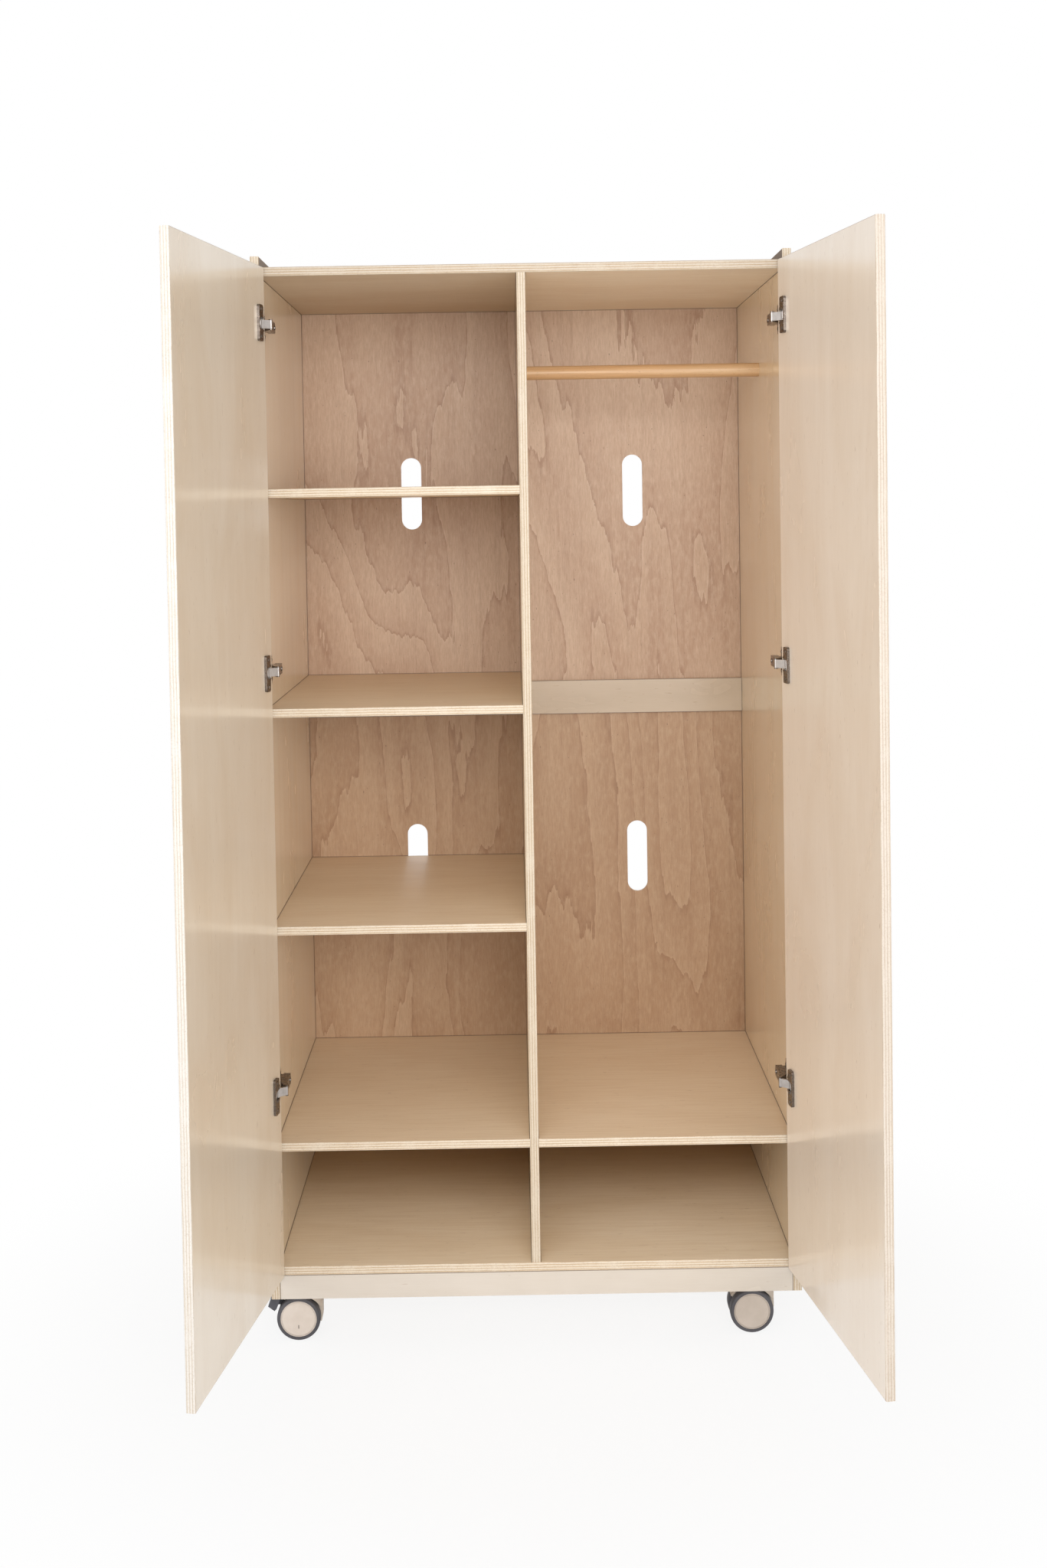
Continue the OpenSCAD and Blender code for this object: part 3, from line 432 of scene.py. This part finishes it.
def mouldedPlastic(name, look):
    # fine spark-eroded grain, a slow change of tone and a dusting of scuffs
    material, tree, shader = newMaterial(name, look["roughness"])
    grain = noise(tree, placed(tree, look["grainScale"]), detail=2.0)
    tone = noise(tree, placed(tree, look["toneScale"]))
    scuff = noise(tree, placed(tree, look["scuffScale"]), detail=4.0, roughness=0.65)
    colour = tint(tree, look["light"], tone, look["toneSpan"], 1.0, look["shade"])
    colour = tint(tree, colour, scuff, look["scuffSpan"], look["scuffMix"], look["scuff"])
    rough = varied(tree, tone, look["roughSpan"], look["roughness"], look["roughSpread"])
    dress(tree, shader, colour, grain, look["relief"], rough)
    return material


hubPlastic = {
    "light": srgb(214, 202, 191), "shade": srgb(205, 192, 180), "scuff": srgb(178, 164, 152),
    "grainScale": (1500.0, 1500.0, 1500.0), "toneScale": (28.0, 28.0, 28.0),
    "scuffScale": (90.0, 90.0, 420.0),
    "toneSpan": (0.3, 0.7), "scuffSpan": (0.62, 0.8), "scuffMix": 0.3,
    "roughness": 0.42, "roughSpan": (0.2, 0.8), "roughSpread": (-0.05, 0.08), "relief": (0.1, 0.0001),
}
# a darker copy of the hub plastic for the front right caster: painted shade
shadedHubPlastic = dict(hubPlastic, light=srgb(193, 180, 168), shade=srgb(184, 171, 158))
ribPlastic = dict(hubPlastic, light=srgb(104, 96, 90), shade=srgb(94, 86, 80))
housingPlastic = dict(hubPlastic, light=srgb(206, 193, 178), shade=srgb(194, 180, 165), roughness=0.46)
pedalPlastic = dict(
    hubPlastic, light=srgb(74, 74, 80), shade=srgb(60, 60, 66), scuff=srgb(104, 102, 104),
    scuffMix=0.35, roughness=0.5, relief=(0.22, 0.0001))
tyreRubber = dict(
    hubPlastic, light=srgb(80, 78, 82), shade=srgb(66, 64, 68), scuff=srgb(116, 110, 106),
    scuffMix=0.4, roughness=0.55, relief=(0.18, 0.0001))


def paint(name, materials, pick=None):
    # one material all over, or one for each face by its normal
    mesh = nodes[name].data
    mesh.materials.clear()
    for material in materials:
        mesh.materials.append(material)
    index = np.zeros(len(mesh.polygons), np.int32)
    if pick is not None:
        normals = np.empty(len(mesh.polygons) * 3, np.float32)
        mesh.polygons.foreach_get("normal", normals)
        index = pick(normals.reshape(-1, 3)).astype(np.int32)
    mesh.polygons.foreach_set("material_index", index)


faceOn = 0.97        # cosine above which a facet belongs to a board's face


def paintBoard(name, axis, front, rear, look):
    # face towards +axis takes front, towards -axis rear, and everything between is plywood edge
    axis = np.array(axis, float)
    points = np.empty(len(nodes[name].data.vertices) * 3, np.float32)
    nodes[name].data.vertices.foreach_get("co", points)
    depth = points.reshape(-1, 3) @ axis
    edge = plyEdge(name + "_edge", axis, float(depth.min()), float(depth.max() - depth.min()), look)

    def pick(normals):
        facing = normals @ axis
        return np.where(facing > faceOn, 0, np.where(facing < -faceOn, 1, 2))

    paint(name, [front, rear, edge], pick)


# lines that other boards draw on a face, as (axis, place, left bay only)
allLines = [(2, z, False) for z in heightsOf(fullBoards + baseBoards)]
leftLines = [(2, z, False) for z in heightsOf(leftBoards)]
gatedLines = [(2, z, True) for z in heightsOf(leftBoards)]
backLine = [(1, backIn, False)]
standLines = [(0, sideIn, False), (0, dividerIn, False)]

plainUpright = veneer("uprightBirch", birch)
outerFace = veneer("outerBirch", outerBirch)
rightDoorFace = veneer("litRightDoorBirch", litRightDoorBirch)
leftUpright = veneer("litLeftBayBirch", litLeftBayLook, allLines + leftLines + backLine)
rightUpright = veneer("shadedRightBayBirch", shadedRightBayLook, allLines + backLine)
flatFace = veneer("shelfBirch", flatBirch, standLines + backLine)
lowFace = veneer("bottomBirch", lowBirch, standLines + backLine)
topFace = veneer("topBirch", topBirch)
topUnder = veneer("topUnderBirch", topUnderBirch, standLines + backLine)
plinthFace = veneer("plinthBirch", plinthBirch, [(0, sideIn, False), (2, underOf("bottom_panel"), False)])
railFace = veneer("railBirch", railBirch, standLines + [(2, z, False) for z in heightsOf(["back_rail"])])
backFace = figuredVeneer("backVeneer", backFigure, allLines + gatedLines + standLines)
lowBackFace = figuredVeneer("lowBackVeneer", lowBackFigure, allLines + gatedLines + standLines)
backRear = figuredVeneer("backRearVeneer", backRearFigure)

paintBoard("left_side_panel", (1, 0, 0), leftUpright, outerFace, standEdgeLook)
paintBoard("right_side_panel", (1, 0, 0), outerFace, rightUpright, standEdgeLook)
paintBoard("centre_divider", (1, 0, 0), rightUpright, leftUpright, standEdgeLook)
paintBoard("top_panel", (0, 0, 1), topFace, topUnder, topEdgeLook)
paintBoard("bottom_panel", (0, 0, 1), lowFace, lowFace, edgeLook)
for name in leftBoards + ["left_base_shelf", "right_base_shelf"]:
    paintBoard(name, (0, 0, 1), flatFace, flatFace, edgeLook)
for name in ("front_plinth_rail", "rear_plinth_rail"):
    paintBoard(name, (0, 1, 0), plinthFace, plinthFace, edgeLook)
paintBoard("back_rail", (0, 1, 0), railFace, railFace, edgeLook)
paintBoard("upper_back_panel", (0, 1, 0), backRear, backFace, backEdgeLook)
paintBoard("lower_back_panel", (0, 1, 0), backRear, lowBackFace, backEdgeLook)

openTurn = math.radians(99.0)        # how far the doors stand open at rest
doorAxis = (math.sin(openTurn), math.cos(openTurn), 0.0)
paintBoard("left_door", doorAxis, plainUpright, outerFace, litLeftDoorEdgeLook)
paintBoard("right_door", (-doorAxis[0], doorAxis[1], 0.0), rightDoorFace, outerFace, rightDoorEdgeLook)

finishes = {
    "nickel_steel": platedMetal("nickelPlate", nickel),
    "zinc_steel": platedMetal("zincPlate", zinc),
    "pin_steel": platedMetal("pinSteel", pinSteel),
    "beech_dowel": roundBeech("railBeech", railBeech),
    "batten_softwood": sawnPine("battenPine", battenPine),
    "hub_plastic": mouldedPlastic("hubPlastic", hubPlastic),
    "housing_plastic": mouldedPlastic("housingPlastic", housingPlastic),
    "pedal_plastic": mouldedPlastic("pedalPlastic", pedalPlastic),
    "tyre_rubber": mouldedPlastic("tyreRubber", tyreRubber),
}
for part in frame["record"]["subparts"]:
    if part["material_slot"] in finishes:
        paint(part["node"], [finishes[part["material_slot"]]])
linkPlate = platedMetal("linkPlate", linkNickel)
for name in ("left_hinge_links", "right_hinge_links"):
    paint(name, [linkPlate])
# the front right caster's hubs take the darker copy of the hub plastic: painted shade
paint("front_right_caster_hubs", [mouldedPlastic("shadedHubPlastic", shadedHubPlastic)])
ribFinish = mouldedPlastic("ribPlastic", ribPlastic)
print("materials placed")


def screwGrid(look):
    # radius and height of the outline turned about the axis: a domed head with a cross recess, then a core
    # whose radius follows a triangle wave of height and angle, which is the thread, and a short point
    turns = np.linspace(0.0, 2 * math.pi, look["segments"], endpoint=False)
    head, top, tall, shank = look["headR"], look["topR"], look["headH"], look["shankR"]
    crown = np.linspace(look["crownFrom"], 1.0, look["crownRows"])
    dome = np.column_stack([crown * top, tall * (1 - look["domeDrop"] * crown ** 2)])
    bulge, brim = look["bulge"], look["brim"]
    shoulder = [top + bulge * (head - top), bulge * tall]
    side = np.array([shoulder, [head, brim * tall], [head, 0.0], [shank, 0.0]])
    rows = np.arange(look["threadFrom"], look["length"], look["pitch"] / look["threadRows"])
    shaft = np.column_stack([np.full(len(rows), shank), -rows])
    point = np.array([[look["taperR"] * shank, -look["length"] - look["taperH"]],
                      [look["tipR"], -look["length"] - look["tipH"]]])
    outline = np.vstack([dome, side, shaft, point])
    radius = np.repeat(outline[:, :1], len(turns), axis=1)
    height = np.repeat(outline[:, 1:], len(turns), axis=1)
    threadStart = len(dome) + len(side)
    thread = slice(threadStart, threadStart + len(shaft))
    wave = np.abs(((height[thread] / look["pitch"] - turns / (2 * math.pi)) % 1.0) - 0.5) * 2
    radius[thread] = shank * (1 - look["threadDeep"] + look["threadDeep"] * wave)
    x, y = radius * np.cos(turns), radius * np.sin(turns)
    aside = look["slot"] - np.minimum(np.abs(x), np.abs(y))
    slot = np.clip(aside / (look["slotWall"] * look["slot"]), 0, 1)
    reach = np.clip((look["slotReach"] * top - radius) / (look["slotEnd"] * top), 0, 1)
    height[:len(dome)] -= (slot * reach * look["slotDeep"])[:len(dome)]
    return np.stack([x, y, height], axis=2) / 1000.0        # millimetres to metres


def gridFaces(rows, columns, first=0):
    # quads between neighbouring rows of a grid that closes on itself, with a flat cap on each end row
    across, down = np.meshgrid(np.arange(columns), np.arange(rows - 1))
    after = (across + 1) % columns
    here, below = down * columns, (down + 1) * columns
    corners = np.stack([here + across, below + across, below + after, here + after], axis=2)
    quads = (corners.reshape(-1, 4) + first).tolist()
    start = (np.arange(columns) + first).tolist()
    end = (np.arange(columns)[::-1] + (rows - 1) * columns + first).tolist()
    return quads + [start, end]


def addPiece(name, body, points, faces, material, sharp=35.0):
    # smooth mesh, with edges over the sharp angle kept, that rides on a body
    mesh = bpy.data.meshes.new(name)
    mesh.from_pydata(points.tolist(), [], faces)
    mesh.polygons.foreach_set("use_smooth", np.ones(len(mesh.polygons), bool))
    mesh.set_sharp_from_angle(angle=math.radians(sharp))
    mesh.materials.append(material)
    piece = bpy.data.objects.new(name, mesh)
    bpy.context.scene.collection.objects.link(piece)
    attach(piece, body)
    return piece


def addScrews(name, body, node, slotName, look, spots):
    # one threaded screw at each (seat, axis, turn), its axis pointing out of the head
    grid = screwGrid(look)
    rows, columns = grid.shape[:2]
    flat = grid.reshape(-1, 3)
    points, faces = [], []
    for number, (seat, axis, turn) in enumerate(spots):
        aim = Vector((0, 0, 1)).rotation_difference(Vector(axis)).to_matrix()
        aim = aim @ Matrix.Rotation(turn, 3, "Z")
        points.append(flat @ np.array(aim).T + np.array(seat))
        faces += gridFaces(rows, columns, number * len(flat))
    piece = addPiece(name, body, np.vstack(points), faces, finishes[slotName])
    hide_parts(node)


# sizes in millimetres, but crownFrom, domeDrop, bulge, brim, slotWall, slotReach, slotEnd, threadDeep and
# taperR are shares, and threadRows counts the rows in one pitch
plateScrew = {
    "headR": 3.6, "topR": 2.8, "headH": 1.6, "shankR": 1.75, "length": 8.6, "pitch": 1.5,
    "slot": 0.5, "slotDeep": 1.0, "slotWall": 0.35, "slotReach": 0.78, "slotEnd": 0.12,
    "segments": 40, "crownRows": 9, "crownFrom": 0.03, "domeDrop": 0.12, "bulge": 0.6, "brim": 0.2,
    "threadRows": 6, "threadFrom": 0.15, "threadDeep": 0.26,
    "taperR": 0.55, "taperH": 0.5, "tipR": 0.05, "tipH": 1.1,
}
armScrew = dict(plateScrew, length=5.6, topR=3.3)
cupScrew = dict(plateScrew, length=12.4, headH=1.0, slotDeep=0.8)
casterScrew = dict(
    plateScrew, headR=4.4, topR=3.4, headH=2.4, shankR=2.5, length=20.5, pitch=2.4, slot=0.65, slotDeep=1.4)

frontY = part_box("left_side_panel")[0].y          # front edges of the carcass
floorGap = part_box("left_side_panel")[0].z        # lower edge of the side panels
# metres: heights from the side panels' lower edge, Y from their front edge
hingeSet = {
    "heights": (0.360, 1.068, 1.646), "plateY": 0.037, "platePitch": 0.016, "plateTop": 0.002,
    "armY": 0.049, "armTop": 0.0175, "cupAlong": 0.032, "cupPitch": 0.0225, "cupTop": 0.0044,
    "cornerX": 0.0087, "cornerY": -0.005,
    # how far each screw was driven round, in radians, so that no two recesses stand alike
    "turnFrom": 0.4, "turnByHinge": 1.1, "turnByEnd": 0.6, "cupTurn": 0.5, "armTurn": 0.3,
}


def hingeSpots(side, look):
    # seats and axes of the plate, arm and cup screws of one door, from the side panel's inner front corner
    plate, arm, cup = [], [], []
    inward = (-side, 0.0, 0.0)
    pastSquare = openTurn - math.pi / 2
    alongDoor = np.array([side * math.sin(pastSquare), -math.cos(pastSquare), 0.0])
    outOfDoor = np.array([-side * math.sin(openTurn), math.cos(openTurn), 0.0])
    corner = np.array([side * (sideIn - look["cornerX"]), frontY + look["cornerY"], floorGap])
    plateX, plateY = side * (sideIn - look["plateTop"]), frontY + look["plateY"]
    armX, armY = side * (sideIn - look["armTop"]), frontY + look["armY"]
    for number, height in enumerate(look["heights"]):
        z = floorGap + height
        for way in (-1, 1):
            spin = look["turnFrom"] + look["turnByHinge"] * number + look["turnByEnd"] * way
            plate.append(((plateX, plateY, z + way * look["platePitch"]), inward, spin))
            seat = corner + look["cupAlong"] * alongDoor + look["cupTop"] * outOfDoor
            seat[2] = z + way * look["cupPitch"]
            cup.append((seat, tuple(outOfDoor), spin + look["cupTurn"]))
        arm.append(((armX, armY, z), inward, look["armTurn"] + number))
    return plate, arm, cup


leftPlate, leftArm, leftCup = hingeSpots(-1, hingeSet)
rightPlate, rightArm, rightCup = hingeSpots(1, hingeSet)
plates, arms = leftPlate + rightPlate, leftArm + rightArm
addScrews("hingePlateScrews", "carcass", "hinge_plate_screws", "nickel_steel", plateScrew, plates)
addScrews("hingeArmScrews", "carcass", "hinge_arm_screws", "nickel_steel", armScrew, arms)
addScrews("leftCupScrews", "left_door", "left_cup_screws", "nickel_steel", cupScrew, leftCup)
addScrews("rightCupScrews", "right_door", "right_cup_screws", "nickel_steel", cupScrew, rightCup)

# metres: X and Z from the frame's origin, Y of the swivels from the front edge of the side panels
casterSet = {
    "swivelX": 0.391, "swivelY": (0.072, 0.514), "boltX": 0.029, "boltY": 0.023, "plateUnder": 0.102,
    "turnByX": 0.7, "turnByY": 0.3,
}


def casterSpots(look):
    # four screws round the axis of each caster, driven upwards through its plate
    spots = []
    for side, swivelY, wayX, wayY in product((-1, 1), look["swivelY"], (-1, 1), (-1, 1)):
        x = side * look["swivelX"] + wayX * look["boltX"]
        y = frontY + swivelY + wayY * look["boltY"]
        spin = look["turnByX"] * wayX + look["turnByY"] * wayY + side
        spots.append(((x, y, look["plateUnder"]), (0, 0, -1), spin))
    return spots


addScrews("casterScrews", "carcass", "caster_screws", "zinc_steel", casterScrew, casterSpots(casterSet))
print("screws made")

# metres, with crownFrom a share of the width
ribLook = {
    "wide": 0.0007, "tall": 0.00325, "rise": 0.0005, "sink": 0.0004, "below": 0.01325,
    "crownFrom": 0.05, "rings": 7, "segments": 28,
}


def ribGrid(look):
    # rings of a superellipse grow evenly from the crown to the foot, their height a quarter circle of the
    # growing, and the last ring sinks into the hub
    turns = np.linspace(0.0, 2 * math.pi, look["segments"], endpoint=False)
    share = np.append(np.linspace(look["crownFrom"], 1.0, look["rings"]), 1.0)[:, None]
    across, up = np.cos(turns), np.sin(turns)
    x = share * look["wide"] * np.sign(across) * np.sqrt(np.abs(across))
    z = (look["tall"] - (1 - share) * look["wide"]) * np.sign(up) * np.sqrt(np.abs(up))
    out = np.repeat(look["rise"] * np.sqrt(1 - share ** 2), len(turns), axis=1)
    out[-1] = -look["sink"]
    return np.stack([x, out, z], axis=2)


def addRibs(corner, look):
    # a moulded rib below the axle on the outer face of each wheel of a braked caster
    low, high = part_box(corner + "_caster_hubs")
    grid = ribGrid(look)
    rows, columns = grid.shape[:2]
    flat = grid.reshape(-1, 3)
    points, faces = [], []
    for number, (face, way) in enumerate(((low.y, -1), (high.y, 1))):
        seat = np.array([(low.x + high.x) / 2, face, (low.z + high.z) / 2 - look["below"]])
        points.append(flat * np.array([-way, way, 1.0]) + seat)
        faces += gridFaces(rows, columns, number * len(flat))
    wheels = corner + "_caster_wheels"
    addPiece(corner + "_hub_ribs", wheels, np.vstack(points), faces, ribFinish)


for corner in ("front_left", "rear_right"):
    addRibs(corner, ribLook)
print("hub ribs made")

stageLook = {
    "floorSize": 14.0, "floor": srgb(246, 246, 246), "shade": srgb(236, 236, 236), "roughness": 0.9,
    "paperScale": (40.0, 40.0, 40.0), "paperSpan": (0.3, 0.7), "paperMix": 0.15,
    "fadeFrom": 0.45, "fadeTo": 1.25, "nearWhite": 0.86, "skyLight": 0.5,
}
plainWhite = (1.0, 1.0, 1.0, 1.0)


def shownRay(tree):
    # 1 for a ray from the camera, also when something mirrors it or lets it through
    path = addNode(tree, "LightPath").outputs
    seen = calc(tree, "MAXIMUM", path["Is Camera Ray"], path["Is Glossy Ray"])
    return calc(tree, "MAXIMUM", seen, path["Is Transmission Ray"])


def makeFloor(look):
    # flat square sheet; far from the object a camera ray sees plain white, near it the shadow stays
    half = look["floorSize"] / 2
    mesh = bpy.data.meshes.new("floor")
    corners = [(-half, -half, 0), (half, -half, 0), (half, half, 0), (-half, half, 0)]
    mesh.from_pydata(corners, [], [(0, 1, 2, 3)])
    floor = bpy.data.objects.new("floor", mesh)
    bpy.context.scene.collection.objects.link(floor)
    material, tree, shader = newMaterial("floorPaper", look["roughness"])
    paper = noise(tree, placed(tree, look["paperScale"]), roughness=0.5)
    colour = tint(tree, look["floor"], paper, look["paperSpan"], look["paperMix"], look["shade"])
    tree.links.new(colour, shader.inputs["Base Color"])
    coords = addNode(tree, "TexCoord").outputs["Object"]
    away = addNode(tree, "VectorMath", {0: coords}, operation="LENGTH").outputs["Value"]
    whiter = fade(tree, away, look["fadeFrom"], look["fadeTo"], look["nearWhite"])
    factor = calc(tree, "MULTIPLY", shownRay(tree), whiter)
    white = addNode(tree, "Emission", {"Color": plainWhite, "Strength": 1.0})
    mixed = addNode(tree, "MixShader", {0: factor, 1: shader.outputs[0], 2: white.outputs[0]})
    tree.links.new(mixed.outputs[0], tree.nodes["Material Output"].inputs["Surface"])
    mesh.materials.append(material)


def makeWorld(look):
    # soft light from all round, with plain white wherever the background is seen
    world = bpy.data.worlds.new("studio")
    bpy.context.scene.world = world
    world.use_nodes = True
    tree = world.node_tree
    soft = tree.nodes["Background"]
    soft.inputs["Color"].default_value = plainWhite
    soft.inputs["Strength"].default_value = look["skyLight"]
    white = addNode(tree, "Background", {"Color": plainWhite, "Strength": 1.0})
    mixed = addNode(tree, "MixShader", {0: shownRay(tree), 1: soft.outputs[0], 2: white.outputs[0]})
    tree.links.new(mixed.outputs[0], tree.nodes["World Output"].inputs["Surface"])


def softbox(name, look):
    # rectangular lamp at one point, facing another
    lamp = bpy.data.lights.new(name, "AREA")
    lamp.shape = "RECTANGLE"
    lamp.size, lamp.size_y = look["size"]
    lamp.energy = look["power"]
    holder = bpy.data.objects.new(name, lamp)
    bpy.context.scene.collection.objects.link(holder)
    holder.location = look["at"]
    holder.rotation_euler = (Vector(look["to"]) - Vector(look["at"])).to_track_quat("-Z", "Y").to_euler()


# the rear one is for views from behind
lamps = {
    "keyBox": {"at": (-0.5, -3.7, 2.05), "to": (0.0, 0.3, 1.2), "size": (2.4, 1.5), "power": 43.0},
    "fillBox": {"at": (1.3, -4.4, 1.7), "to": (0.0, 0.2, 1.0), "size": (2.4, 2.0), "power": 80.0},
    "sideBox": {"at": (-2.6, -3.4, 1.6), "to": (0.0, 0.2, 1.0), "size": (1.8, 1.8), "power": 32.0},
    "rearBox": {"at": (0.8, 4.2, 1.1), "to": (0.0, 0.3, 1.0), "size": (2.4, 1.1), "power": 32.0},
}

# place in metres, turns in radians, focal length and centre in pixels of the picture, sensor in millimetres
cameraLook = {
    "at": (-0.02184, -2.9703, 1.4334), "turns": (-0.0161, 0.0344, -0.0022),
    "focal": 2266.6, "centre": (673.8, 738.2), "picture": (1367, 2048), "sensor": 36.0,
}


def makeCamera(look):
    # rotation read as a photo camera's: x right, y down, z forward, from its roll, pitch and yaw
    roll, pitch, yaw = look["turns"]
    tilt = Matrix.Rotation(roll, 3, "Z") @ Matrix.Rotation(pitch, 3, "X")
    aim = np.array(tilt @ Matrix.Rotation(yaw, 3, "Y"))
    right, down, forward = (np.array([row[0], row[2], -row[1]]) for row in aim)
    turn = Matrix(np.column_stack([right, -down, -forward]).tolist()).to_4x4()
    data = bpy.data.cameras.new("photoCamera")
    data.sensor_width = look["sensor"]
    width, height = look["picture"]
    data.lens = look["focal"] * look["sensor"] / height
    data.shift_x = (width / 2 - look["centre"][0]) / height
    data.shift_y = (look["centre"][1] - height / 2) / height
    camera = bpy.data.objects.new("photoCamera", data)
    bpy.context.scene.collection.objects.link(camera)
    camera.matrix_world = Matrix.Translation(look["at"]) @ turn
    bpy.context.scene.camera = camera


makeFloor(stageLook)
makeWorld(stageLook)
for name, look in lamps.items():
    softbox(name, look)
makeCamera(cameraLook)
bpy.context.scene.view_settings.view_transform = "Standard"
print("stage set")
